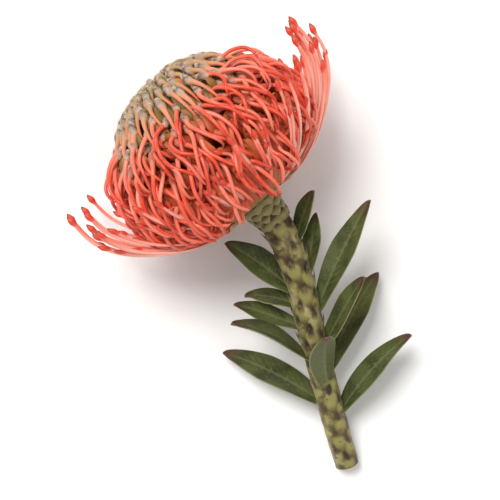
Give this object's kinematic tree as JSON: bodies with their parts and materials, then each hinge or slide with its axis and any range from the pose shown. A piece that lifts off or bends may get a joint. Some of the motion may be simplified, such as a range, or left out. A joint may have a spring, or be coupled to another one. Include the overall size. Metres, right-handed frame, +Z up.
{
  "type": "pincushion protea flower",
  "caption": "Cut pincushion protea bloom lying on its side: a dome of woolly florets and looped coral styles over a bract collar, with a scaly stem and leathery leaves.",
  "frame": {"origin": "on the table under the middle of the flower's bounding box", "axes": "+Z up from the table; +Y towards the head's end of the flower, which points up and to the left seen from above; +X to the right seen from above"},
  "size_m": [0.1245, 0.1707, 0.0795],
  "materials": {
    "young_floret_wool": "matt, short silvery wool over olive tubes",
    "coral_style": "satin, waxy coral styles over orange woolly tubes",
    "bract": "matt, downy olive bracts with dark brown tips",
    "stem_bark": "matt, downy olive bark with brown scale bracts",
    "leaf_blade": "satin, leathery dark green with reddish brown tips"
  },
  "bodies": {
    "root": {"young_florets": "young_floret_wool", "open_florets": "coral_style", "involucre": "bract", "stem": "stem_bark", "leaf_01": "leaf_blade", "leaf_02": "leaf_blade", "leaf_03": "leaf_blade", "leaf_04": "leaf_blade", "leaf_05": "leaf_blade", "leaf_06": "leaf_blade", "leaf_07": "leaf_blade", "leaf_08": "leaf_blade", "leaf_09": "leaf_blade", "leaf_10": "leaf_blade", "leaf_11": "leaf_blade", "leaf_12": "leaf_blade"}
  },
  "joints": []
}
